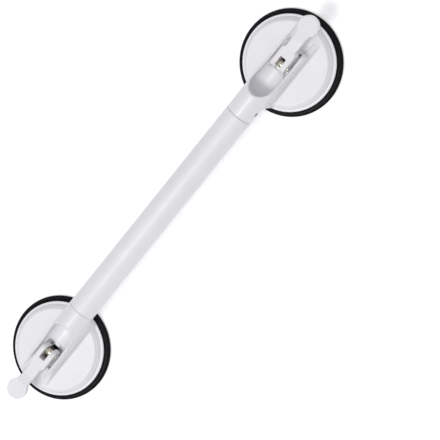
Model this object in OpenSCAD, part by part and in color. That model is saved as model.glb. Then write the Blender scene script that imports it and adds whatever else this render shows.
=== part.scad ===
// Suction grab bar: two cam-lever suction heads joined by a white grip tube.
// The bar lies with its suction pads on the wall plane z = 0. X runs along the grip tube,
// +Z points away from the wall, and the origin is midway between the two heads.
// The levers are drawn pressed down, with the pads pulled up and holding.

/* [Grip tube] */
// Distance between the centres of the two suction pads
pad_pitch = 429; // [400:1:540]
// Outer diameter of the grip tube and of the necks that it meets
tube_d = 32; // [31:0.5:33]
// Wall thickness of the white grip tube
tube_wall = 2.9; // [2.4:0.1:2.9]
// Diameter of the aluminium tube inside the grip tube
core_d = 26; // [25:0.2:26]
// Height of the grip tube's axis above the wall
tube_axis_z = 44; // [43.5:0.5:45]
// Distance from the left pad's centre to the seam between neck and tube
neck_left = 65.5; // [64:0.5:70]
// Distance from the right pad's centre to the seam between neck and tube
neck_right = 72.5; // [71:0.5:78]

/* [Suction pad] */
// Outer diameter of the rubber pad
pad_d = 120; // [118:0.5:122]
// Height of the hollow under the pad's middle when it is pulled up
vacuum_h = 5.2; // [5:0.1:5.4]
// Diameter of the steel plate moulded into the pad
core_plate_d = 38; // [36:0.5:40]

/* [Shell] */
// Radius of the shell's rim
rim_r = 54.2; // [53.5:0.1:55]
// Height of the shell's flat face above the wall
face_z = 19; // [18.5:0.5:20]
// Thickness of the shell's walls
shell_wall = 3; // [2.5:0.1:3]
// Number of stiffening ribs under the face
rib_count = 8; // [6:1:12]
// Half of the distance across the outsides of the two rails
rail_half_w = 17.5; // [17:0.25:18]

/* [Lever] */
// Height of the lever's pin above the wall with the lever pressed down
pin_z = 38; // [38:0.1:38.5]
// Diameter of the lever's pin
pin_d = 5; // [4.6:0.1:5]
// How far the lever pulls the middle of the pad up
pull_travel = 4; // [3.5:0.1:4.2]
// Width of the lever's forked end
fork_w = 19; // [18:0.5:19.5]
// Width of the lever's handle
handle_w = 13.6; // [12:0.2:14]
// Distance from the pin to the middle of the thumb pad
thumb_x = 54.5; // [53:0.5:58]
// Diameter of the thumb pad
thumb_d = 24; // [22:0.5:26]

/* [Pull strap] */
// Width of the steel strap
strap_w = 6; // [5:0.2:6.4]
// Thickness of the steel strap
strap_t = 2; // [1.6:0.1:2]

/* [Hidden] */
$fn = 96;

tube_r = tube_d / 2;
pad_r = pad_d / 2;
seam_gap = 0.5;
left_end_x = -pad_pitch / 2 + neck_left;
right_end_x = pad_pitch / 2 - neck_right;
socket_end = 46.5;              // from the pad's centre to the blind end of the neck's socket
socket_play = 0.5;
core_half_l = pad_pitch / 2 - socket_end - socket_play;
core_r = core_d / 2;
core_wall = 1.8;
plug_l = 30;

// Neck screws, placed from the pad's centre
right_screw_x = neck_right - 12.75;
left_screw_x = 60;
screw_d = 3.5;
screw_head_d = 6.4;
screw_head_h = 1.8;
screw_head_top = 14.8;          // from the tube's axis
screw_tip = 5;                  // from the tube's axis
recess_d = 7;

// Shell
rim_bottom_z = 6.5;
rim_top_z = 10;
rim_flat_r = 51.6;
face_r = 47.2;
cavity_r = 44.4;
ceiling_z = face_z - shell_wall;
floor_z = 27;                   // bearing face of the wear plate, and floor of the lever's pocket
rail_top_z = 42;
rail_in = 10.7;
block_end = 22;
low_rail_z = 25.5;
low_rail_end = 41.5;
scoop_r = 13.5;
scoop_z = 41.5;
scoop_x = -28.5;
cradle_x = -4.1;                // the round hollow that the lever's inner end drops into
cradle_z = 34;
cradle_r = 7.3;
sweep_r = 70;                   // radius of the hollow sweep from the neck's top to the rails
sweep_x = 5;
sweep_dip = 0.5;                // how far the sweep dips below the rails' tops

// Pull strap and wear plate
fit = 0.05;
strap_in_r = pin_d / 2 + 0.1;
strap_out_r = strap_in_r + strap_t;
plate_z = 8;
plate_t = 2;
foot_l = 14;
rivet_x = 10;
rivet_d = 3.2;
wear_t = 1.5;
wear_half_w = 10.5;
wear_in = -7.4;
wear_tongue = -9.8;             // a narrow tongue of the wear plate reaches further in
wear_tongue_half_w = 4.5;
slot_in = -6.6;
slot_out = 11;
slot_half_w = 3.6;
notch_in = 16.8;                // pits in the pocket floor under the lever shoulders
notch_out = 20;

// Lever cam: its support height grows evenly with the angle, so the pad rises evenly too
cam_gap = 0.1;
cam_high = pin_z - floor_z - cam_gap;
cam_rate = pull_travel / 90;                       // millimetres per degree
cam_arm = cam_rate * 180 / PI;
cam_low = cam_high - pull_travel;
fork_top = 11;
fork_gap = 7.4;
window_end = 9;
shoulder_x = 21;
pin_l = 20.9;

// A head's own frame has +X pointing away from the grip tube
module head(side) {
    translate([side * pad_pitch / 2, 0, 0])
        rotate([0, 0, side < 0 ? 180 : 0])
            children();
}

// A solid of constant width in Y from an outline drawn in X and Z
module slab(width) {
    rotate([90, 0, 0])
        linear_extrude(width, center = true)
            children();
}

module rod_x(r, x0, x1, z) {
    translate([x0, 0, z])
        rotate([0, 90, 0])
            cylinder(r = r, h = x1 - x0);
}

module grip_tube() {
    color("white")
        difference() {
            rod_x(tube_r, left_end_x + seam_gap / 2, right_end_x - seam_gap / 2, tube_axis_z);
            rod_x(tube_r - tube_wall, left_end_x - 1, right_end_x + 1, tube_axis_z);
        }
}

module core_tube() {
    color("silver")
        difference() {
            rod_x(core_r, -core_half_l, core_half_l, tube_axis_z);
            rod_x(core_r - core_wall, -core_half_l - 1, core_half_l + 1, tube_axis_z);
            neck_screw_places()
                cylinder(d = screw_d, h = core_d);
        }
}

// Puts its children at each neck screw's seat, with +Z pointing outwards along the screw
module neck_screw_places() {
    translate([-pad_pitch / 2 + left_screw_x, 0, tube_axis_z])
        rotate([180, 0, 0])
            children();
    right_screw_places()
        children();
}

module right_screw_places() {
    for (turn = [-90, 90])
        translate([pad_pitch / 2 - right_screw_x, 0, tube_axis_z])
            rotate([turn, 0, 0])
                children();
}

module core_plug(side) {
    color("dimgray")
        difference() {
            rod_x(core_r - core_wall,
                  side < 0 ? -core_half_l : core_half_l - plug_l,
                  side < 0 ? -core_half_l + plug_l : core_half_l, tube_axis_z);
            neck_screw_places()
                translate([0, 0, screw_tip])
                    cylinder(d = screw_d, h = core_d);
        }
}

// One self-tapping screw along +Z, with a cross-shaped driver recess
module neck_screw() {
    color("black")
        difference() {
            union() {
                translate([0, 0, screw_tip])
                    cylinder(d = screw_d, h = screw_head_top - screw_tip - screw_head_h / 2);
                translate([0, 0, screw_head_top - screw_head_h])
                    cylinder(d = screw_head_d, h = screw_head_h);
            }
            for (turn = [0, 90])
                translate([0, 0, screw_head_top])
                    rotate([0, 0, turn])
                        cube([3.4, 0.8, 2], center = true);
        }
}

// Revolved outline of the shell's dish, from its centre out to the rim
function dish_outline() = [
    [0, ceiling_z], [cavity_r, ceiling_z], [cavity_r + 3.2, rim_bottom_z + 2.4],
    [cavity_r + 4.2, rim_bottom_z], [rim_r - 0.8, rim_bottom_z], [rim_r, rim_bottom_z + 0.8],
    for (a = [0:18:90]) [rim_r - 1.2 + 1.2 * cos(a), rim_top_z - 1.2 + 1.2 * sin(a)],
    [rim_flat_r, rim_top_z], [face_r + 0.6, face_z - 0.9], [face_r + 0.15, face_z - 0.25],
    [face_r - 0.5, face_z], [0, face_z]
];

module dish() {
    rotate_extrude()
        polygon(dish_outline());
    for (turn = [0:rib_count - 1])
        rotate([0, 0, (turn + 0.5) * 360 / rib_count])
            translate([25, -1, 10.5])
                cube([20, 2, ceiling_z - 10]);
    difference() {
        translate([0, 0, 10])
            cylinder(r = 26, h = ceiling_z - 9.5);
        cylinder(r = 24, h = ceiling_z + 1);
    }
}

// Side outline of the block that carries the rails and joins the neck to the dish
function block_outline() = [
    [-56, rim_bottom_z + 0.7], [-46, rim_bottom_z + 0.7], [-44, ceiling_z + 1.5],
    [low_rail_end, ceiling_z + 1.5], [low_rail_end, face_z], [block_end + 1.5, low_rail_z],
    [block_end - 1, rail_top_z - 1.2], [block_end - 3, tube_axis_z], [-56, tube_axis_z]
];

module block() {
    intersection() {
        rotate([90, 0, 90])
            linear_extrude(120, center = true)
                polygon([[-rail_half_w, 5], [rail_half_w, 5],
                         [tube_r - 0.4, tube_axis_z], [0.4 - tube_r, tube_axis_z]]);
        slab(60)
            polygon(block_outline());
        cylinder(r = rim_r - 0.4, h = 60);
    }
}

// Everything above the sweep that falls from the neck's top to the rails
module sweep_cut() {
    translate([sweep_x, 0, rail_top_z - sweep_dip + sweep_r])
        rotate([90, 0, 0])
            cylinder(r = sweep_r, h = 60, center = true);
    translate([sweep_x, -30, rail_top_z])
        cube([40, 60, 40]);
}

// Arc of the trough's rounded floor, between two angles
function scoop_arc(from, to) = [
    for (a = [from:7.5:to]) [scoop_r * cos(a), scoop_z + scoop_r * sin(a)]
];

// The rounded trough behind the lever, with its bathtub-shaped end in the neck
module scoop_cut() {
    top = scoop_z + 40;
    translate([scoop_x, 0, 0])
        rotate([90, 0, 90])
            linear_extrude(block_end - scoop_x - 2)
                polygon(concat(scoop_arc(180, 360), [[scoop_r, top], [-scoop_r, top]]));
    translate([scoop_x, 0, 0])
        rotate([0, 0, 90])
            rotate_extrude(angle = 180)
                polygon(concat(scoop_arc(270, 360), [[scoop_r, top], [0, top]]));
}

module lever_pocket() {
    translate([cradle_x, -rail_in, floor_z])
        cube([block_end - cradle_x + 2, 2 * rail_in, 40]);
    translate([cradle_x, 0, cradle_z])
        rotate([90, 0, 0])
            cylinder(r = cradle_r, h = 2 * rail_in, center = true);
    translate([block_end, -rail_in, face_z])
        cube([30, 2 * rail_in, 40]);
    for (side = [-1, 1])
        translate([notch_in, side * (rail_in + handle_w / 2 - 0.4) / 2 - 1.8, ceiling_z])
            cube([notch_out - notch_in, 3.6, floor_z - ceiling_z + 1]);
}

module shell(side) {
    neck = side < 0 ? neck_left : neck_right;
    color("whitesmoke")
        difference() {
            union() {
                head(side)
                    dish();
                head(side)
                    difference() {
                        union() {
                            block();
                            rod_x(tube_r, -neck, block_end - 3, tube_axis_z);
                        }
                        sweep_cut();
                        scoop_cut();
                        lever_pocket();
                        // moulding pocket that leaves an even wall under the trough
                        translate([-34, -12, ceiling_z - 1])
                            cube([52, 24, 8]);
                    }
            }
            head(side) {
                // recess and slot for the wear plate and the pull strap
                translate([wear_in - 0.2, -wear_half_w, floor_z - wear_t])
                    cube([16.2 - wear_in, 2 * wear_half_w, wear_t + 1]);
                translate([wear_tongue - 0.2, -wear_tongue_half_w - 0.2, floor_z - wear_t])
                    cube([4, 2 * wear_tongue_half_w + 0.4, wear_t + 4]);
                translate([slot_in - 0.4, -slot_half_w - 0.3, ceiling_z - 1])
                    cube([slot_out - slot_in + 0.8, 2 * slot_half_w + 0.6, 15]);
                translate([-34, -12, ceiling_z - 1])
                    cube([52, 24, 8]);
                rod_x(core_r + 0.1, -neck - 1, -socket_end, tube_axis_z);
            }
            neck_screw_places()
                cylinder(d = screw_d + 0.2, h = tube_r);
            neck_screw_places()
                translate([0, 0, screw_head_top - screw_head_h])
                    cylinder(d = recess_d, h = tube_r);
        }
}

module wear_plate(side) {
    color("silver")
        head(side)
            difference() {
                union() {
                    translate([wear_in, 0.2 - wear_half_w, floor_z - wear_t])
                        cube([15.8 - wear_in, 2 * wear_half_w - 0.4, wear_t]);
                    translate([wear_tongue, -wear_tongue_half_w, floor_z - wear_t])
                        cube([4, 2 * wear_tongue_half_w, wear_t]);
                }
                translate([slot_in, -slot_half_w, floor_z - wear_t - 1])
                    cube([slot_out - slot_in, 2 * slot_half_w, wear_t + 2]);
            }
}

// Revolved outline of the rubber pad in its pulled-up shape
function pad_outline() = [
    [0, vacuum_h], [24, vacuum_h - 0.3], [40, 2.6], [46, 0.9], [50, 0],
    [pad_r - 0.8, 0], [pad_r, 1], [pad_r, 2.6], [pad_r - 0.5, 3.4], [pad_r - 1.9, 4],
    [pad_r - 2.5, 5.2], [pad_r - 4.6, 5.6], [pad_r - 5.4, rim_bottom_z],
    [50.5, rim_bottom_z], [46, 5.6], [32, 6.6], [24, 8.4], [22, plate_z + plate_t + 1],
    [core_plate_d / 2 - 2, plate_z + plate_t + 1], [core_plate_d / 2 - 2, plate_z + plate_t],
    [core_plate_d / 2, plate_z + plate_t], [core_plate_d / 2, plate_z], [0, plate_z]
];

module suction_pad(side) {
    color([0.08, 0.08, 0.09])
        head(side)
            rotate_extrude($fn = 128)
                polygon(pad_outline());
}

module rivet_places() {
    for (x = [-rivet_x, rivet_x])
        translate([x, 0, 0])
            children();
}

module core_plate(side) {
    color("silver")
        head(side)
            difference() {
                translate([0, 0, plate_z])
                    cylinder(d = core_plate_d, h = plate_t);
                rivet_places()
                    cylinder(d = rivet_d, h = 20);
            }
}

// A strip bent over the pin, with two legs down to feet on the core plate
module pull_strap(side) {
    foot_z = plate_z + plate_t;
    color("tan")
        head(side)
            difference() {
                slab(strap_w)
                    difference() {
                        union() {
                            translate([0, pin_z])
                                circle(r = strap_out_r);
                            translate([-strap_out_r, foot_z])
                                square([2 * strap_out_r, pin_z - foot_z]);
                            translate([-foot_l, foot_z])
                                square([2 * foot_l, strap_t]);
                        }
                        translate([0, pin_z])
                            circle(r = strap_in_r);
                        translate([-strap_in_r, foot_z - 1])
                            square([2 * strap_in_r, pin_z - foot_z + 1]);
                    }
                rivet_places()
                    cylinder(d = rivet_d, h = 20);
            }
}

module strap_rivets(side) {
    head_z = plate_z + plate_t + strap_t;
    color("gray")
        head(side)
            rivet_places() {
                translate([0, 0, plate_z])
                    cylinder(d = rivet_d, h = head_z - plate_z + 0.5);
                translate([0, 0, head_z])
                    cylinder(d = 5.4, h = 1.4);
            }
}

module lever_pin(side) {
    color("goldenrod")
        head(side)
            translate([0, 0, pin_z])
                rotate([90, 0, 0])
                    difference() {
                        cylinder(d = pin_d, h = pin_l, center = true);
                        for (end = [-1, 1])
                            translate([0, 0, end * pin_l / 2])
                                cylinder(d = 2.2, h = 2.4, center = true);
                    }
}

// Side outline of the lever round the pin at [0, 0]
function cam_curve() = [
    for (a = [0:5:90])
        let (h = cam_high - cam_rate * a)
            [-h * sin(a) + cam_arm * cos(a), -h * cos(a) - cam_arm * sin(a)]
];
function lever_outline() = concat(
    [[thumb_x + thumb_d, 14], [thumb_x + thumb_d, 8], [thumb_x - 13, 7.6], [38, 4],
     [shoulder_x + 2, 3.4], [shoulder_x - 2, -3], [12, -9], [7, -cam_high]],
    cam_curve(),
    [for (a = [180:-15:90]) [cam_low * cos(a), fork_top - cam_low + cam_low * sin(a)]],
    [[20, fork_top], [33, fork_top + 0.3], [41, fork_top + 1.5], [46, 14]]
);

// One edge of the lever seen from above, from the fork to the thumb pad
function lever_edge(side) = [
    [0, side * fork_w / 2], [shoulder_x - 3, side * fork_w / 2],
    [shoulder_x, side * (handle_w / 2 + 1.2)], [shoulder_x + 1.2, side * handle_w / 2],
    [thumb_x - 16, side * handle_w / 2], [thumb_x - 11, side * (handle_w / 2 + 0.7)],
    [thumb_x - 8, side * (handle_w / 2 + 2)], [thumb_x, side * (handle_w / 2 + 2)]
];

module lever_plan() {
    linear_extrude(60, center = true)
        polygon(concat(lever_edge(1), [for (i = [7:-1:0]) lever_edge(-1)[i]],
                       [for (a = [-99:-9:-171]) fork_w / 2 * [cos(a), sin(a)]],
                       [for (a = [180:-9:99]) fork_w / 2 * [cos(a), sin(a)]]));
    translate([thumb_x, 0, -30])
        cylinder(d = thumb_d, h = 60);
}

module cam_lever(side) {
    color("white")
        head(side)
            translate([0, 0, pin_z])
                difference() {
                    intersection() {
                        slab(60)
                            polygon(lever_outline());
                        lever_plan();
                    }
                    translate([-20, -fork_gap / 2, -20])
                        cube([20 + window_end, fork_gap, 40]);
                    rotate([90, 0, 0])
                        cylinder(d = pin_d + 2 * fit, h = 40, center = true);
                }
}

grip_tube();
core_tube();
core_plug(-1);  // core_plug_left
core_plug(1);  // core_plug_right
translate([-pad_pitch / 2 + left_screw_x, 0, tube_axis_z])  // neck_screw_left
        rotate([180, 0, 0])
            neck_screw();
right_screw_places()  // neck_screws_right
        neck_screw();
shell(-1);  // shell_left
shell(1);  // shell_right
wear_plate(-1);  // wear_plate_left
wear_plate(1);  // wear_plate_right
suction_pad(-1);  // suction_pad_left
suction_pad(1);  // suction_pad_right
core_plate(-1);  // core_plate_left
core_plate(1);  // core_plate_right
pull_strap(-1);  // pull_strap_left
pull_strap(1);  // pull_strap_right
strap_rivets(-1);  // strap_rivets_left
strap_rivets(1);  // strap_rivets_right
lever_pin(-1);  // lever_pin_left
lever_pin(1);  // lever_pin_right
cam_lever(-1);  // cam_lever_left
cam_lever(1);  // cam_lever_right
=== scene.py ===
import cmath
import math

import bpy
import numpy as np
from mathutils import Matrix, Vector


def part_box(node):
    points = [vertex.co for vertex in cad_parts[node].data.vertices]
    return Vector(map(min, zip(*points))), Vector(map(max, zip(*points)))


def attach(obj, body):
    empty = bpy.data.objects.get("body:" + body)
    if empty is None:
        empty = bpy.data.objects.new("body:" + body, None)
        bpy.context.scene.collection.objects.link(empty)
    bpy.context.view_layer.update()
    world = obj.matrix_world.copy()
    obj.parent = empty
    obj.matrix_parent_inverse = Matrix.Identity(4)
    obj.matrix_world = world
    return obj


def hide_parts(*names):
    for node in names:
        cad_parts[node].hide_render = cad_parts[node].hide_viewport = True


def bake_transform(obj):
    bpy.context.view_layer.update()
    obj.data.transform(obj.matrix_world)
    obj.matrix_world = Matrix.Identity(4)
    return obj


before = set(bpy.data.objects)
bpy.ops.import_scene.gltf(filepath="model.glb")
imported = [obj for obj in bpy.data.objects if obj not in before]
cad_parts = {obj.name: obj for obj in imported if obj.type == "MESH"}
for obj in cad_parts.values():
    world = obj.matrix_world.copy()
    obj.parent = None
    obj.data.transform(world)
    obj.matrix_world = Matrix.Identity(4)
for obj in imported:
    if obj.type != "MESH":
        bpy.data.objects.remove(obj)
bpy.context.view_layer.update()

# Lengths are in millimetres up to make_mesh, which turns them into metres.
MM = 0.001
SIDES = {"left": -1, "right": 1}


# ---------------------------------------------------------------- measures taken from the CAD

def box_mm(node):
    """(lowest corner, highest corner) of a CAD node, in millimetres."""
    low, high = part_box(node)
    return np.array(low) / MM, np.array(high) / MM


PAD_LOW, PAD_HIGH = box_mm("suction_pad_right")
TUBE_LOW, TUBE_HIGH = box_mm("grip_tube")
PIN_LOW, PIN_HIGH = box_mm("lever_pin_right")
STRAP_LOW, STRAP_HIGH = box_mm("pull_strap_right")
WEAR_LOW, WEAR_HIGH = box_mm("wear_plate_right")
LEVER_LOW, LEVER_HIGH = box_mm("cam_lever_right")

HEAD_X = (PAD_LOW[0] + PAD_HIGH[0]) / 2
PAD_R = (PAD_HIGH[0] - PAD_LOW[0]) / 2
AXIS_Z = (TUBE_LOW[2] + TUBE_HIGH[2]) / 2
TUBE_R = (TUBE_HIGH[2] - TUBE_LOW[2]) / 2
PIN_Z = (PIN_LOW[2] + PIN_HIGH[2]) / 2
PIN_R = (PIN_HIGH[2] - PIN_LOW[2]) / 2
PIN_HALF = (PIN_HIGH[1] - PIN_LOW[1]) / 2
STRAP_W = STRAP_HIGH[1] - STRAP_LOW[1]
FOOT_L = (STRAP_HIGH[0] - STRAP_LOW[0]) / 2
NECK = {"left": box_mm("shell_left")[1][0] + HEAD_X, "right": HEAD_X - box_mm("shell_right")[0][0]}

# Shell, from the CAD's own outlines
RIM_R = 54.2
RING_R = 25.0
FACE_Z = 19.0
FLOOR_Z = 27.0
RAIL_Z = 41.6
SCOOP_R, SCOOP_Z, SCOOP_X = 13.5, 41.5, -28.5
SWEEP_R, SWEEP_X = 70.0, 5.0
ROD_END = 18.5
UNDER_FILLET, UNDER_TOP = 7.0, 42.0
SOCKET_R, SOCKET_END = 13.1, 46.5
SCREW_X = {"left": 60.0, "right": 59.75}
SCREW_HEAD_R, SCREW_DEPTH = 3.5, 13.0

# Hollows of the shell: lowest and highest corner, the pit for the positive side only
CORE_ROOM = (-34, -12, 0), (18, 12, 23)
SLOT_ROOM = (-7, -3.9, 0), (11.4, 3.9, FLOOR_Z + 1)
PIT = (16.8, 6.75, 16), (20, 10.35, 30)
POCKET_HALF, POCKET_STEP = 10.7, 22
CRADLE_X, CRADLE_Z, CRADLE_R = -4.1, 34.0, 7.3

# Spacing of the sample places from which the moulded surfaces are made
SHELL_PITCH = 0.7
LEVER_PITCH = 0.4
WEAR_HALF = (WEAR_HIGH[1] - WEAR_LOW[1]) / 2
WEAR_IN, WEAR_TONGUE, WEAR_OUT = -7.4, WEAR_LOW[0] - HEAD_X, WEAR_HIGH[0] - HEAD_X
TONGUE_HALF = 4.5
WEAR_T = 1.5

# Lever
CAM_HIGH = 10.9
CAM_RATE = 4 / 90
FORK_TOP = 11.0
FORK_HALF = 9.5
FORK_GAP = 7.4
WINDOW_END = 9.0
HANDLE_HALF = 6.8
THUMB_R = (LEVER_HIGH[1] - LEVER_LOW[1]) / 2
THUMB_X = LEVER_HIGH[0] - HEAD_X - THUMB_R
THUMB_TOP = LEVER_HIGH[2] - PIN_Z

# Colours, linear
WHITE = (0.850, 0.843, 0.868)
RUBBER = (0.004, 0.004, 0.005)
NICKEL = (0.92, 0.84, 0.71)
STEEL = (0.62, 0.62, 0.61)
ALUMINIUM = (0.70, 0.71, 0.73)
PLUG_GREY = (0.10, 0.10, 0.11)
SCREW_BLACK = (0.025, 0.025, 0.028)


# ---------------------------------------------------------------- outlines and distance fields

def rounded(corners, steps=5):
    """Closed outline through (x, y, radius) corners, with every corner turned into an arc."""
    outline = []
    for k, (x, y, radius) in enumerate(corners):
        corner = complex(x, y)
        back = complex(*corners[k - 1][:2]) - corner
        on = complex(*corners[(k + 1) % len(corners)][:2]) - corner
        half = abs(cmath.phase(on / back)) / 2
        if radius == 0 or half > 1.5:
            outline.append((x, y))
            continue
        reach = min(radius / math.tan(half), 0.49 * abs(back), 0.49 * abs(on))
        middle = back / abs(back) + on / abs(on)
        centre = corner + middle / abs(middle) * reach / math.cos(half)
        start = corner + back / abs(back) * reach - centre
        end = corner + on / abs(on) * reach - centre
        turn = cmath.phase(end / start)
        for step in range(steps + 1):
            point = centre + start * cmath.exp(1j * turn * step / steps)
            outline.append((point.real, point.imag))
    return outline


def outline_field(x, y, outline):
    """Signed distance of the points (x, y) from a closed outline, negative inside."""
    x, y = np.broadcast_arrays(x, y)
    nearest = np.full(x.shape, np.inf, np.float32)
    inside = np.zeros(x.shape, bool)
    ax, ay = outline[-1]
    for bx, by in outline:
        ex, ey = bx - ax, by - ay
        along = ((x - ax) * ex + (y - ay) * ey) / max(ex * ex + ey * ey, 1e-12)
        along = np.clip(along, 0, 1)
        nearest = np.minimum(nearest, (x - ax - along * ex) ** 2 + (y - ay - along * ey) ** 2)
        if ey != 0:
            crosses = (ay > y) != (by > y)
            inside ^= crosses & (x < ax + (y - ay) * ex / ey)
        ax, ay = bx, by
    distance = np.sqrt(nearest)
    return np.where(inside, -distance, distance).astype(np.float32)


def lathe_field(radius, height, outline, step=0.2):
    """Distance from an outline (radius, height) turned round the vertical axis."""
    table_r = np.arange(0, float(radius.max()) + 2 * step, step, dtype=np.float32)
    table = outline_field(table_r[:, None], height.reshape(1, -1), outline)
    place = radius[..., 0] / step
    low = place.astype(int)
    part = (place - low)[..., None].astype(np.float32)
    return table[low] * (1 - part) + table[low + 1] * part


def join(a, b, r):
    """Both solids, with a hollow fillet of radius r where they meet."""
    return np.maximum(r, np.minimum(a, b)) - np.hypot(np.maximum(r - a, 0), np.maximum(r - b, 0))


def meet(a, b, r):
    """What the two solids share, with its new edge rounded to radius r."""
    return np.minimum(-r, np.maximum(a, b)) + np.hypot(np.maximum(r + a, 0), np.maximum(r + b, 0))


def cut(a, b, r):
    """Solid a without solid b, with the new edge rounded to radius r."""
    return meet(a, -b, r)


def box_field(u, v, w, low, high):
    """Distance from an upright box, exact on its faces."""
    sides = [np.maximum(a - q, q - b) for q, a, b in zip((u, v, w), low, high)]
    return np.maximum(np.maximum(sides[0], sides[1]), sides[2])


def grid(low, high, pitch):
    """Three axes of sample places that cover a box."""
    shapes = ((-1, 1, 1), (1, -1, 1), (1, 1, -1))
    return [np.arange(a - pitch, b + 2 * pitch, pitch, dtype=np.float32).reshape(s)
            for a, b, s in zip(low, high, shapes)]


def ramp(x, start, end):
    """0 before start, 1 after end, and a smooth rise between them."""
    t = np.clip((x - start) / (end - start), 0, 1)
    return t * t * (3 - 2 * t)


# ---------------------------------------------------------------- surface nets

CORNERS = [(i, j, k) for i in (0, 1) for j in (0, 1) for k in (0, 1)]


def cell_points(field, cells):
    """One point per cell: the middle of the places where the surface crosses the cell's edges."""
    total = np.zeros(cells.shape, np.float32)
    count = np.zeros(len(cells), np.float32)
    for a in CORNERS:
        for axis in range(3):
            if a[axis]:
                continue
            b = list(a)
            b[axis] = 1
            fa = field[tuple((cells + a).T)]
            fb = field[tuple((cells + b).T)]
            hit = (fa < 0) != (fb < 0)
            share = np.where(hit, fa / np.where(hit, fa - fb, 1), 0)
            point = np.tile(np.array(a, np.float32), (len(cells), 1))
            point[:, axis] = share
            total += point * hit[:, None]
            count += hit
    return total / count[:, None]


def cell_faces(inside, number, axis):
    """A quad round each grid edge along axis that the surface crosses."""
    inside = np.moveaxis(inside, axis, 0)
    number = np.moveaxis(number, axis, 0)
    starts = inside[:-1, 1:-1, 1:-1]
    ends = inside[1:, 1:-1, 1:-1]
    quads = np.stack([number[:, :-1, :-1], number[:, 1:, :-1],
                      number[:, 1:, 1:], number[:, :-1, 1:]], axis=-1)
    outward = quads[starts & ~ends]
    inward = quads[ends & ~starts][:, ::-1]
    faces = np.concatenate([outward, inward])
    return faces[:, ::-1] if axis == 1 else faces


def field_normals(field, places):
    """Unit normals of the field at fractional grid places."""
    normal = np.zeros(places.shape, np.float32)
    low = np.clip(places.astype(int), 1, np.array(field.shape) - 3)
    part = places - low
    for corner in CORNERS:
        at = low + corner
        weight = np.prod(np.where(np.array(corner) == 1, part, 1 - part), axis=1)
        for axis in range(3):
            step = np.zeros(3, int)
            step[axis] = 1
            slope = field[tuple((at + step).T)] - field[tuple((at - step).T)]
            normal[:, axis] += weight * slope
    return normal / np.maximum(np.linalg.norm(normal, axis=1), 1e-9)[:, None]


def surface_net(field, axes):
    """(points, quads, normals) of the surface where the field is zero."""
    inside = field < 0
    total = sum(inside[i:inside.shape[0] - 1 + i, j:inside.shape[1] - 1 + j, k:inside.shape[2] - 1 + k]
                .astype(np.int8) for i, j, k in CORNERS)
    mixed = (total > 0) & (total < 8)
    cells = np.argwhere(mixed)
    number = np.full(mixed.shape, -1, np.int64)
    number[mixed] = np.arange(len(cells))
    places = cells + cell_points(field, cells)
    origin = np.array([axis.flat[0] for axis in axes])
    pitch = float(axes[0].flat[1] - axes[0].flat[0])
    faces = np.concatenate([cell_faces(inside, number, axis) for axis in range(3)])
    return origin + places * pitch, faces, field_normals(field, places)


# ---------------------------------------------------------------- making objects

def head_place(side):
    """Matrix from a head's own millimetres, +X away from the grip, to the row frame."""
    turn = Matrix.Rotation(math.pi, 4, "Z") if side == "left" else Matrix.Identity(4)
    return Matrix.Translation((SIDES[side] * HEAD_X * MM, 0, 0)) @ turn @ Matrix.Scale(MM, 4)


def make_mesh(name, points, faces, place, normals=None):
    """A mesh object from millimetre points. Without given normals, edges over 35 degrees are sharp."""
    mesh = bpy.data.meshes.new(name)
    mesh.from_pydata([tuple(p) for p in points], [], [tuple(f) for f in faces])
    mesh.transform(place)
    mesh.validate()
    mesh.shade_smooth()
    if normals is None:
        mesh.set_sharp_from_angle(angle=math.radians(35))
    else:
        turn = np.array(place.to_3x3().normalized())
        mesh.normals_split_custom_set_from_vertices([tuple(n) for n in normals @ turn.T])
    piece = bpy.data.objects.new(name, mesh)
    bpy.context.scene.collection.objects.link(piece)
    return piece


def finish_piece(piece, body, material, slot, *nodes):
    """Gives a piece its material and its body and hides the CAD nodes it stands for; the slot is not used.
    """
    piece.data.materials.append(material)
    if nodes:
        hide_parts(*nodes)
    if body:
        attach(piece, body)
    return piece


def lathe(outline, segments, start=0.0, sweep=2 * math.pi):
    """(points, faces) of an outline (radius, height) turned round Z, closed at the ends of a part turn."""
    full = sweep > 6.28
    count = segments if full else segments + 1
    points = []
    for k in range(count):
        angle = start + sweep * k / segments
        points += [(r * math.cos(angle), r * math.sin(angle), h) for r, h in outline]
    size = len(outline)
    faces = []
    for k in range(segments):
        a = k * size
        b = (k + 1) % count * size
        for j in range(size):
            n = (j + 1) % size
            if outline[j][0] < 1e-6 and outline[n][0] < 1e-6:
                continue
            faces.append((a + j, b + j, b + n, a + n))
    if not full:
        faces.append(tuple(range(size)))
        faces.append(tuple(count * size - 1 - j for j in range(size)))
    return weld(points, faces)


def weld(points, faces):
    """Joins points in the same place and drops the sides that this leaves with no length."""
    first = {}
    index = []
    kept = []
    for p in points:
        key = tuple(round(c, 5) for c in p)
        if key not in first:
            first[key] = len(kept)
            kept.append(p)
        index.append(first[key])
    clean = []
    for face in faces:
        ring = [index[i] for i in face]
        ring = [i for k, i in enumerate(ring) if i != ring[k - 1]]
        if len(ring) > 2:
            clean.append(tuple(ring))
    return kept, clean


def swept_strip(path, section):
    """(points, faces) of a closed section carried along a path in X and Z, closed at both ends."""
    points = []
    for k, (x, z) in enumerate(path):
        back = path[max(k - 1, 0)]
        on = path[min(k + 1, len(path) - 1)]
        along = complex(on[0] - back[0], on[1] - back[1])
        side = along / abs(along) * 1j
        points += [(x + side.real * t, s, z + side.imag * t) for s, t in section]
    size = len(section)
    faces = []
    for k in range(len(path) - 1):
        for j in range(size):
            n = (j + 1) % size
            faces.append((k * size + j, k * size + n, (k + 1) * size + n, (k + 1) * size + j))
    faces.append(tuple(range(size - 1, -1, -1)))
    faces.append(tuple((len(path) - 1) * size + j for j in range(size)))
    return points, faces


# ---------------------------------------------------------------- materials

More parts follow.
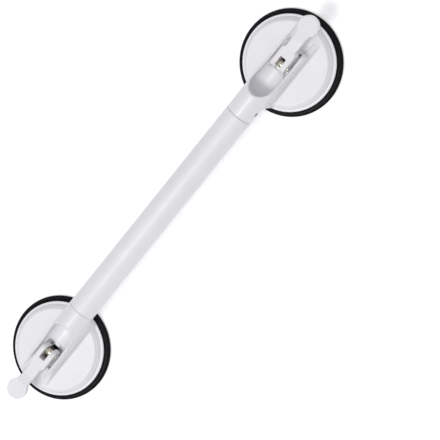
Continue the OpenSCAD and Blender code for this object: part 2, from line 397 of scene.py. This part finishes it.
def new_material(name):
    """(material, node maker, linker, shader node) with an empty Principled shader."""
    material = bpy.data.materials.new(name)
    material.use_nodes = True
    tree = material.node_tree
    return material, tree.nodes.new, tree.links.new, tree.nodes["Principled BSDF"]


def noise_node(make, link, scale, detail=3.0, stretch=(1, 1, 1)):
    """Noise over the piece's own coordinates, in metres."""
    coords = make("ShaderNodeTexCoord")
    mapping = make("ShaderNodeMapping")
    mapping.inputs["Scale"].default_value = stretch
    noise = make("ShaderNodeTexNoise")
    noise.inputs["Scale"].default_value = scale
    noise.inputs["Detail"].default_value = detail
    link(coords.outputs["Object"], mapping.inputs["Vector"])
    link(mapping.outputs["Vector"], noise.inputs["Vector"])
    return noise


def ramp_node(make, link, source, low, high, start=0.3, end=0.7):
    """A colour ramp from low to high over part of the source's range."""
    node = make("ShaderNodeValToRGB")
    node.color_ramp.elements[0].position = start
    node.color_ramp.elements[1].position = end
    node.color_ramp.elements[0].color = (*low, 1)
    node.color_ramp.elements[1].color = (*high, 1)
    link(source, node.inputs["Fac"])
    return node


def range_node(make, link, source, low, high):
    """The source's 0.25 to 0.75 mapped to low to high."""
    node = make("ShaderNodeMapRange")
    node.inputs["From Min"].default_value = 0.25
    node.inputs["From Max"].default_value = 0.75
    node.inputs["To Min"].default_value = low
    node.inputs["To Max"].default_value = high
    link(source, node.inputs["Value"])
    return node


def bump_node(make, link, source, depth, strength, before=None):
    """A bump of that depth in metres, on top of an earlier one if there is one."""
    node = make("ShaderNodeBump")
    node.inputs["Distance"].default_value = depth
    node.inputs["Strength"].default_value = strength
    link(source, node.inputs["Height"])
    if before:
        link(before.outputs["Normal"], node.inputs["Normal"])
    return node


def tinted(colour, factor):
    return tuple(c * factor for c in colour)


def moulded_plastic(name, colour, rough, grain):
    """Moulded plastic: slightly cloudy, with painted shade in its corners, wavy and finely grained."""
    material, make, link, shader = new_material(name)
    cloud = noise_node(make, link, 28, 4)
    tone = ramp_node(make, link, cloud.outputs["Fac"], tinted(colour, 0.975), tinted(colour, 1.01))
    edges = make("ShaderNodeNewGeometry")
    hollow = edges.outputs["Pointiness"]
    # painted shade: concave corners and creases are darkened by up to 7 percent
    corner_shade = ramp_node(make, link, hollow, (0.93, 0.925, 0.92), (1, 1, 1), 0.455, 0.495)
    blend = make("ShaderNodeMix")
    blend.data_type = "RGBA"
    blend.blend_type = "MULTIPLY"
    blend.inputs["Factor"].default_value = 1.0
    link(tone.outputs["Color"], blend.inputs["A"])
    link(corner_shade.outputs["Color"], blend.inputs["B"])
    link(blend.outputs["Result"], shader.inputs["Base Color"])
    smudge = noise_node(make, link, 60, 5)
    rougher = range_node(make, link, smudge.outputs["Fac"], rough - 0.05, rough + 0.06)
    link(rougher.outputs["Result"], shader.inputs["Roughness"])
    flow = noise_node(make, link, 45, 1)
    fine = noise_node(make, link, 2600, 2)
    wave = bump_node(make, link, flow.outputs["Fac"], 0.0003, 0.06)
    skin = bump_node(make, link, fine.outputs["Fac"], 0.00004, grain, wave)
    link(skin.outputs["Normal"], shader.inputs["Normal"])
    shader.inputs["IOR"].default_value = 1.52
    return material


def moulded_rubber(name):
    """Black rubber: turned mould rings, a dusty bloom and a fine matt grain."""
    material, make, link, shader = new_material(name)
    bloom = noise_node(make, link, 55, 6)
    tone = ramp_node(make, link, bloom.outputs["Fac"], tinted(RUBBER, 0.7), tinted(RUBBER, 1.9))
    link(tone.outputs["Color"], shader.inputs["Base Color"])
    rougher = range_node(make, link, bloom.outputs["Fac"], 0.34, 0.5)
    link(rougher.outputs["Result"], shader.inputs["Roughness"])
    fine = noise_node(make, link, 3200, 3)
    skin = bump_node(make, link, fine.outputs["Fac"], 0.00006, 0.35)
    link(skin.outputs["Normal"], shader.inputs["Normal"])
    shader.inputs["IOR"].default_value = 1.5
    shader.inputs["Specular IOR Level"].default_value = 0.1
    return material


def painted_low_shade(make, link, colour, low, high):
    """Painted shade: the colour as it is above the height high, in metres, and nearly black below low."""
    coords = make("ShaderNodeTexCoord")
    parts = make("ShaderNodeSeparateXYZ")
    link(coords.outputs["Object"], parts.inputs["Vector"])
    shade = make("ShaderNodeMapRange")
    shade.inputs["From Min"].default_value = low
    shade.inputs["From Max"].default_value = high
    shade.inputs["To Min"].default_value = 0.05
    link(parts.outputs["Z"], shade.inputs["Value"])
    mixed = make("ShaderNodeMix")
    mixed.data_type = "RGBA"
    mixed.blend_type = "MULTIPLY"
    mixed.inputs["Factor"].default_value = 1.0
    link(colour, mixed.inputs["A"])
    link(shade.outputs["Result"], mixed.inputs["B"])
    return mixed.outputs["Result"]


def worked_metal(name, colour, rough, stretch, scratch, cloudy=0.06, low_shade=None):
    """Bare or plated metal with fine scratches and faint staining, and with painted shade darkening its
    lower parts if asked.
    """
    material, make, link, shader = new_material(name)
    stain = noise_node(make, link, 130, 4)
    tone = ramp_node(make, link, stain.outputs["Fac"], tinted(colour, 1 - cloudy), colour)
    base = tone.outputs["Color"]
    # painted shade: darkens the colour towards black below a given height
    if low_shade:
        base = painted_low_shade(make, link, base, *low_shade)
    link(base, shader.inputs["Base Color"])
    lines = noise_node(make, link, 900, 3, stretch)
    rougher = range_node(make, link, lines.outputs["Fac"], rough * 0.7, rough * 1.5)
    link(rougher.outputs["Result"], shader.inputs["Roughness"])
    marks = bump_node(make, link, lines.outputs["Fac"], 0.00002, scratch)
    link(marks.outputs["Normal"], shader.inputs["Normal"])
    shader.inputs["Metallic"].default_value = 1.0
    return material


def paper_floor():
    """Paper floor with a barely visible fibre and a faint glow that keeps it white."""
    material, make, link, shader = new_material("studio_floor")
    fibre = noise_node(make, link, 300, 3)
    tone = ramp_node(make, link, fibre.outputs["Fac"], (0.93, 0.93, 0.935), (0.95, 0.95, 0.955))
    link(tone.outputs["Color"], shader.inputs["Base Color"])
    shader.inputs["Roughness"].default_value = 0.9
    shader.inputs["Specular IOR Level"].default_value = 0.1
    shader.inputs["Emission Color"].default_value = (1, 1, 1, 1)
    shader.inputs["Emission Strength"].default_value = 0.3
    return material


# ---------------------------------------------------------------- the shell

DISH = rounded([
    (-5, 16, 0), (44.4, 16, 0.6), (47.6, 8.9, 0.6), (48.6, 6.5, 0.4), (53.4, 6.5, 0.5),
    (RIM_R, 7.3, 0.4), (RIM_R, 10.1, 0.7), (51.1, 10.1, 0.3), (48.0, 17.8, 0.6), (47.1, FACE_Z, 0.9),
    (-5, FACE_Z, 0)])
BLOCK_SIDE = rounded([
    (-70, 7.2, 0), (-46, 7.2, 0.5), (-44, 17.5, 0.5), (41.5, 17.5, 0), (41.5, 18.6, 0),
    (23.2, 25.5, 3), (20.8, 42, 1.5), (19, 48, 0), (-70, 48, 0)])
BLOCK_SECTION = [(-17.5, 5), (17.5, 5), (15.6, AXIS_Z), (-15.6, AXIS_Z)]


def dish_field(u, v, w):
    """The round shell with its eight ribs and its inner ring."""
    radius = np.hypot(u, v)
    dish = lathe_field(radius, w, DISH)
    angle = np.arctan2(v, u) % (math.pi / 4) - math.pi / 8
    along = radius * np.cos(angle)
    across = np.abs(radius * np.sin(angle))
    rib = box_field(along, across, w, (RING_R, -1, 10.5), (45, 1, 17))
    ring = np.maximum(np.abs(radius - RING_R) - 1, np.maximum(10 - w, w - 17))
    return np.minimum(dish, np.minimum(rib, ring))


def rail_field(u, v, w, neck):
    """The arm: neck, block and rails, with the hollowed trough and the lever's pocket."""
    radius = np.hypot(u, v)
    rod = np.hypot(v, w - AXIS_Z) - TUBE_R
    rod = meet(rod, np.maximum(-neck - u, u - ROD_END), np.float32(0.45))
    under = np.float32(UNDER_FILLET) * ramp(UNDER_TOP - w, 0, 6) + 0.05
    arm = join(radius - (RIM_R - 0.5), rod, under)
    section = outline_field(v, w, BLOCK_SECTION)
    side = outline_field(u, w, BLOCK_SIDE)
    arm = np.maximum(arm, meet(section, side, np.float32(0.8)))
    arm = np.minimum(arm, rod)
    drop = np.hypot(u - SWEEP_X, w - (RAIL_Z + SWEEP_R)) - SWEEP_R
    sweep = np.where(u < SWEEP_X, drop, RAIL_Z - w)
    arm = cut(arm, sweep, np.float32(1.3))
    scoop = np.hypot(np.hypot(np.minimum(u - SCOOP_X, 0), v), np.minimum(w - SCOOP_Z, 0)) - SCOOP_R
    arm = cut(arm, scoop, np.float32(0.9))
    arm = cut(arm, lever_pocket(u, v, w), np.float32(0.5))
    return np.maximum(arm, -box_field(u, np.abs(v), w, *PIT))


def lever_pocket(u, v, w):
    """The lever's pocket between the rails, with the round hollow for the lever's inner end."""
    pocket = box_field(u, v, w, (CRADLE_X, -POCKET_HALF, FLOOR_Z), (80, POCKET_HALF, 90))
    cradle = np.hypot(u - CRADLE_X, w - CRADLE_Z) - CRADLE_R
    pocket = np.minimum(pocket, np.maximum(cradle, np.abs(v) - POCKET_HALF))
    outer = box_field(u, v, w, (POCKET_STEP, -POCKET_HALF, FACE_Z), (80, POCKET_HALF, 90))
    return np.minimum(pocket, outer)


def screw_recess(u, v, w, side):
    """Round recess over a neck screw: below the shorter neck, and at both sides of the longer one."""
    if side == "left":
        return np.maximum(np.hypot(u + SCREW_X[side], v) - SCREW_HEAD_R, w - (AXIS_Z - SCREW_DEPTH))
    return np.maximum(np.hypot(u + SCREW_X[side], w - AXIS_Z) - SCREW_HEAD_R, SCREW_DEPTH - np.abs(v))


def shell_field(u, v, w, side):
    """The whole shell of one head."""
    neck = NECK[side]
    radius = np.hypot(u, v)
    fillet = 0.3 + 2.4 * ramp(51 - radius, 0, 4)
    field = join(dish_field(u, v, w), rail_field(u, v, w, neck), fillet.astype(np.float32))
    field = np.maximum(field, -box_field(u, v, w, *CORE_ROOM))
    for half, inner, top in ((WEAR_HALF, WEAR_IN, FLOOR_Z + 1), (TONGUE_HALF, WEAR_TONGUE, FLOOR_Z + 4)):
        outer = WEAR_OUT if inner == WEAR_IN else WEAR_IN + 2
        low = (inner - 0.2, -half - 0.2, FLOOR_Z - WEAR_T)
        field = np.maximum(field, -box_field(u, v, w, low, (outer + 0.2, half + 0.2, top)))
    field = np.maximum(field, -box_field(u, v, w, *SLOT_ROOM))
    socket = np.maximum(np.hypot(v, w - AXIS_Z) - SOCKET_R, u + SOCKET_END)
    field = cut(field, socket, np.float32(0.4))
    return cut(field, screw_recess(u, v, w, side), np.float32(0.5))


def make_shell(side, material):
    low = (-NECK[side], -RIM_R, 6.4)
    high = (RIM_R, RIM_R, AXIS_Z + TUBE_R)
    axes = grid(low, high, SHELL_PITCH)
    field = shell_field(*axes, side).astype(np.float32)
    points, faces, normals = surface_net(field, axes)
    piece = make_mesh("shell_body_" + side, points, faces, head_place(side), normals)
    finish_piece(piece, "root", material, "shell_plastic", "shell_" + side)


# ---------------------------------------------------------------- the lever

def cam_curve():
    """Lower edge of the cam: its support height falls evenly as the lever turns."""
    arm = CAM_RATE * 180 / math.pi
    curve = []
    for degrees in range(0, 91, 3):
        angle = math.radians(degrees)
        height = CAM_HIGH - CAM_RATE * degrees
        curve.append((arm * math.cos(angle) - height * math.sin(angle),
                      -arm * math.sin(angle) - height * math.cos(angle), 0))
    return curve


def lever_side():
    """Side outline of the lever round its pin, in X and Z."""
    low = CAM_HIGH - 4
    under = [(80, 8, 0), (42.5, 7.6, 4), (38, 4, 4), (23, 3.4, 2), (19, -3, 2), (12, -9, 2)]
    cam = [(7, -CAM_HIGH, 0.5), *cam_curve()]
    top = [(-low, FORK_TOP, low), (20, FORK_TOP, 6), (34, FORK_TOP + 0.4, 12), (45.5, THUMB_TOP, 6)]
    return rounded([(80, THUMB_TOP, 0), *under, *cam, *top])


def lever_plan():
    """Outline of the lever from above: the fork, the handle and its flare into the thumb pad."""
    upper = [
        (-FORK_HALF, 0, 0), (-FORK_HALF, FORK_HALF, FORK_HALF), (18, FORK_HALF, 0.8),
        (21.4, HANDLE_HALF, 1.2), (THUMB_X - 16, HANDLE_HALF, 8), (THUMB_X - 10, HANDLE_HALF + 1.2, 4),
        (THUMB_X - 5.5, HANDLE_HALF + 3.5, 0), (THUMB_X + 5, HANDLE_HALF, 0)]
    lower = [(x, -y, r) for x, y, r in reversed(upper[1:])]
    return rounded(upper + lower)


def make_lever(side, material, dot_material):
    axes = grid((-7.4, -THUMB_R, -11.4), (THUMB_X + THUMB_R, THUMB_R, THUMB_TOP), LEVER_PITCH)
    x, y, z = axes
    plan = np.minimum(outline_field(x, y, lever_plan()), np.hypot(x - THUMB_X, y) - THUMB_R)
    field = meet(plan, outline_field(x, z, lever_side()), np.float32(0.9))
    gap = FORK_GAP / 2
    window = outline_field(x, y, rounded([
        (-30, -gap, 0), (WINDOW_END, -gap, 0.9), (WINDOW_END, gap, 0.9), (-30, gap, 0)]))
    field = cut(field, window, np.float32(0.5))
    field = np.maximum(field, PIN_R + 0.05 - np.hypot(x, z)).astype(np.float32)
    points, faces, normals = surface_net(field, axes)
    points[:, 2] += PIN_Z
    piece = make_mesh("lever_body_" + side, points, faces, head_place(side), normals)
    finish_piece(piece, "lever_" + side, material, "lever_plastic", "cam_lever_" + side)
    make_bumps(side, dot_material)


def bump_places(pitch=3.6):
    """Places of the raised dots, in a lattice of triangles on the thumb pad."""
    places = []
    for i in range(-7, 8):
        for j in range(-7, 8):
            x = (i + j / 2) * pitch
            y = j * pitch * math.sqrt(3) / 2
            if math.hypot(x, y) < THUMB_R - 1.9:
                places.append((x, y))
    return places


def make_bumps(side, material):
    """The raised dots of the thumb pad, one mesh for all of them."""
    dome = [(0, 0.6), (0.6, 0.58), (0.9, 0.44), (1.0, 0.2), (1.05, -0.15), (0, -0.15)]
    points = []
    faces = []
    for x, y in bump_places():
        dot_points, dot_faces = lathe(dome, 12)
        start = len(points)
        points += [(px + THUMB_X + x, py + y, pz + PIN_Z + THUMB_TOP) for px, py, pz in dot_points]
        faces += [tuple(start + i for i in face) for face in dot_faces]
    piece = make_mesh("thumb_dots_" + side, points, flipped(faces), head_place(side))
    finish_piece(piece, "lever_" + side, material, "lever_plastic")


def flipped(faces):
    return [tuple(reversed(face)) for face in faces]


# ---------------------------------------------------------------- the rubber pad

RING = rounded([
    (49.5, 0, 0), (59.2, 0, 0.3), (PAD_R, 1, 0.8), (PAD_R, 2.8, 0.7), (59.0, 3.6, 0.5), (58.2, 3.9, 0.4),
    (57.7, 5.2, 0.5), (55.6, 5.5, 0.5), (54.7, 6.5, 0.4), (49.5, 6.4, 0)], 4)
WEB = [
    (24, 4.9), (32, 3.9), (40, 2.6), (46, 0.9), (49.5, 0), (49.5, 6.4), (46, 5.6), (39, 6.0), (32, 6.6),
    (28, 7.3), (24, 8.4)]
BOSS = rounded([
    (0, 5.2, 0), (24, 4.9, 0), (24, 8.4, 0), (22, 11, 1.5), (17, 11, 0.8), (17, 10, 0), (19, 10, 0),
    (19, 8, 0), (0, 8, 0)])
WEB_PARTS = 8


def make_pad(side, material):
    """The pad's outer ring, the web (which flexes on the real pad) in eight parts, and the middle that the
    strap pulls.
    """
    node = "suction_pad_" + side
    place = head_place(side)
    ring = make_mesh("pad_ring_" + side, *lathe(RING, 160), place)
    finish_piece(ring, "root", material, "pad_rubber", node)
    boss = make_mesh("pad_middle_" + side, *lathe(BOSS, 96), place)
    finish_piece(boss, "pull_" + side, material, "pad_rubber", node)
    for part in range(WEB_PARTS):
        sweep = 2 * math.pi / WEB_PARTS
        web = make_mesh(f"pad_web_{side}_{part}", *lathe(WEB, 12, part * sweep, sweep), place)
        finish_piece(web, None, material, "pad_rubber", node)
        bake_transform(web)


# ---------------------------------------------------------------- tube, pin and strap

def make_tube(material):
    inner = TUBE_R - 2.9
    half = (TUBE_HIGH[0] - TUBE_LOW[0]) / 2
    outline = rounded([
        (inner, -half, 0.2), (TUBE_R, -half, 0.45), (TUBE_R, half, 0.45), (inner, half, 0.2)])
    middle = (TUBE_LOW[0] + TUBE_HIGH[0]) / 2
    lie = Matrix.Translation((middle * MM, 0, AXIS_Z * MM)) @ Matrix.Rotation(math.pi / 2, 4, "Y")
    piece = make_mesh("grip_sleeve", *lathe(outline, 128), lie @ Matrix.Scale(MM, 4))
    finish_piece(piece, "root", material, "grip_plastic", "grip_tube")


def make_pin(side, material):
    hole_r, hole_end = 1.1, PIN_HALF - 1.2
    outline = rounded([
        (0, hole_end, 0), (hole_r, hole_end, 0), (hole_r, PIN_HALF, 0.25), (PIN_R, PIN_HALF, 0.5),
        (PIN_R, -PIN_HALF, 0.5), (hole_r, -PIN_HALF, 0.25), (hole_r, -hole_end, 0), (0, -hole_end, 0)])
    points, faces = lathe(outline, 64)
    lie = Matrix.Translation((0, 0, PIN_Z)) @ Matrix.Rotation(math.pi / 2, 4, "X")
    piece = make_mesh("hinge_pin_" + side, points, flipped(faces), head_place(side) @ lie)
    finish_piece(piece, "pull_" + side, material, "strap_steel", "lever_pin_" + side)


def strap_path():
    """Middle line of the bent strap: foot, leg, loop over the pin, leg and foot."""
    reach = PIN_R + 1.1
    foot = 11.0
    corners = [(-FOOT_L, foot, 0), (-reach, foot, 1.2), (-reach, PIN_Z, 0), (-FOOT_L, PIN_Z, 0)]
    leg = rounded(corners, 6)[:-2]
    loop = [(-reach * math.cos(a), PIN_Z + reach * math.sin(a)) for a in np.linspace(0, math.pi, 25)]
    return leg + loop + [(-x, z) for x, z in reversed(leg)]


def make_strap(side, material):
    half_w = STRAP_W / 2
    section = rounded([(-half_w, -1, 0.45), (half_w, -1, 0.45), (half_w, 1, 0.45), (-half_w, 1, 0.45)], 4)
    points, faces = swept_strip(strap_path(), section)
    piece = make_mesh("bent_strap_" + side, points, faces, head_place(side))
    finish_piece(piece, "pull_" + side, material, "strap_steel", "pull_strap_" + side)


# ---------------------------------------------------------------- camera and lights

CAMERA_PLACE = (0.924405, -0.645866, 3.013534)
VIEW_AZIMUTH, VIEW_HEIGHT, VIEW_ROLL = -33.5595, 70.2931, -105.7005


def turned(degrees, axis):
    return Matrix.Rotation(math.radians(degrees), 4, axis)


def make_camera():
    """The photo's view: from above and to one side, and turned round its own axis."""
    data = bpy.data.cameras.new("camera")
    data.lens = 234.226
    data.sensor_width = 36
    data.clip_end = 30
    camera = bpy.data.objects.new("camera", data)
    bpy.context.scene.collection.objects.link(camera)
    aim = turned(VIEW_AZIMUTH + 90, "Z") @ turned(90 - VIEW_HEIGHT, "X") @ turned(VIEW_ROLL, "Z")
    camera.matrix_world = Matrix.Translation(CAMERA_PLACE) @ aim
    bpy.context.scene.camera = camera


def make_light(name, place, size, power, target=(0, 0, 0)):
    data = bpy.data.lights.new(name, "AREA")
    data.shape = "DISK"
    data.size = size
    data.energy = power
    light = bpy.data.objects.new(name, data)
    light.location = place
    light.rotation_euler = (Vector(target) - Vector(place)).to_track_quat("-Z", "Y").to_euler()
    bpy.context.scene.collection.objects.link(light)


def make_sky():
    """White above, falling off to grey near the horizon, so that upright edges read darker."""
    world = bpy.data.worlds.new("studio")
    world.use_nodes = True
    tree = world.node_tree
    coords = tree.nodes.new("ShaderNodeTexCoord")
    parts = tree.nodes.new("ShaderNodeSeparateXYZ")
    tree.links.new(coords.outputs["Generated"], parts.inputs["Vector"])
    grey, white = (0.1, 0.1, 0.11), (0.97, 0.98, 1.0)
    sky = ramp_node(tree.nodes.new, tree.links.new, parts.outputs["Z"], grey, white, 0.1, 0.6)
    tree.links.new(sky.outputs["Color"], tree.nodes["Background"].inputs["Color"])
    tree.nodes["Background"].inputs["Strength"].default_value = 0.58
    bpy.context.scene.world = world


def make_studio():
    """White floor, a plain sky and two soft lights."""
    edge = 6.0
    mesh = bpy.data.meshes.new("studio_floor")
    corners = [(-edge, -edge, 0), (edge, -edge, 0), (edge, edge, 0), (-edge, edge, 0)]
    mesh.from_pydata(corners, [], [(0, 1, 2, 3)])
    floor = bpy.data.objects.new("studio_floor", mesh)
    floor.location.z = -0.0004
    floor.data.materials.append(paper_floor())
    bpy.context.scene.collection.objects.link(floor)
    make_sky()
    make_light("key", (-1.6, -0.35, 5.2), 1.7, 112)
    make_light("fill", (0.9, -1.2, 4.6), 2.4, 14)
    bpy.context.scene.view_settings.view_transform = "Standard"


# ---------------------------------------------------------------- putting it together

def paint_node(node, material):
    """Gives a CAD node that stays visible its material."""
    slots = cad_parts[node].data.materials
    slots.clear()
    slots.append(material)


def build():
    shell_white = moulded_plastic("shell_white", WHITE, 0.38, 0.25)
    lever_white = moulded_plastic("lever_white", tinted(WHITE, 0.98), 0.34, 0.2)
    # painted highlight: the dots are the lever's plastic, made lighter so that they read as catching the
    # light
    lit_dot_white = moulded_plastic("lit_dot_white", tinted(WHITE, 1.08), 0.22, 0.1)
    grip_white = moulded_plastic("grip_white", tinted(WHITE, 1.01), 0.42, 0.5)
    rubber = moulded_rubber("black_rubber")
    nickel = worked_metal("warm_nickel", NICKEL, 0.12, (1, 0.15, 1), 0.25, 0.14)
    # painted shade: the strap's legs below the loop are darkened to near black, while the loop's top keeps
    # the bright nickel
    strap_shade_heights = ((PIN_Z + 0.6) * MM, (PIN_Z + 3.4) * MM)
    shaded_strap = worked_metal("strap_painted_shade", NICKEL, 0.12, (1, 0.15, 1), 0.25, 0.14, strap_shade_heights)
    steel = worked_metal("stainless_steel", STEEL, 0.3, (0.1, 1, 1), 0.3)
    aluminium = worked_metal("aluminium_tube", ALUMINIUM, 0.34, (0.05, 1, 1), 0.3)
    black = worked_metal("black_oxide", SCREW_BLACK, 0.42, (1, 1, 1), 0.3, 0.4)
    plug = moulded_plastic("plug_grey", PLUG_GREY, 0.5, 0.5)
    make_tube(grip_white)
    paint_node("core_tube", aluminium)
    paint_node("neck_screw_left", black)
    paint_node("neck_screws_right", black)
    for side in SIDES:
        make_shell(side, shell_white)
        make_lever(side, lever_white, lit_dot_white)
        make_pad(side, rubber)
        make_pin(side, nickel)
        make_strap(side, shaded_strap)
        paint_node("wear_plate_" + side, steel)
        paint_node("core_plate_" + side, steel)
        paint_node("strap_rivets_" + side, steel)
        paint_node("core_plug_" + side, plug)


make_camera()
make_studio()
build()
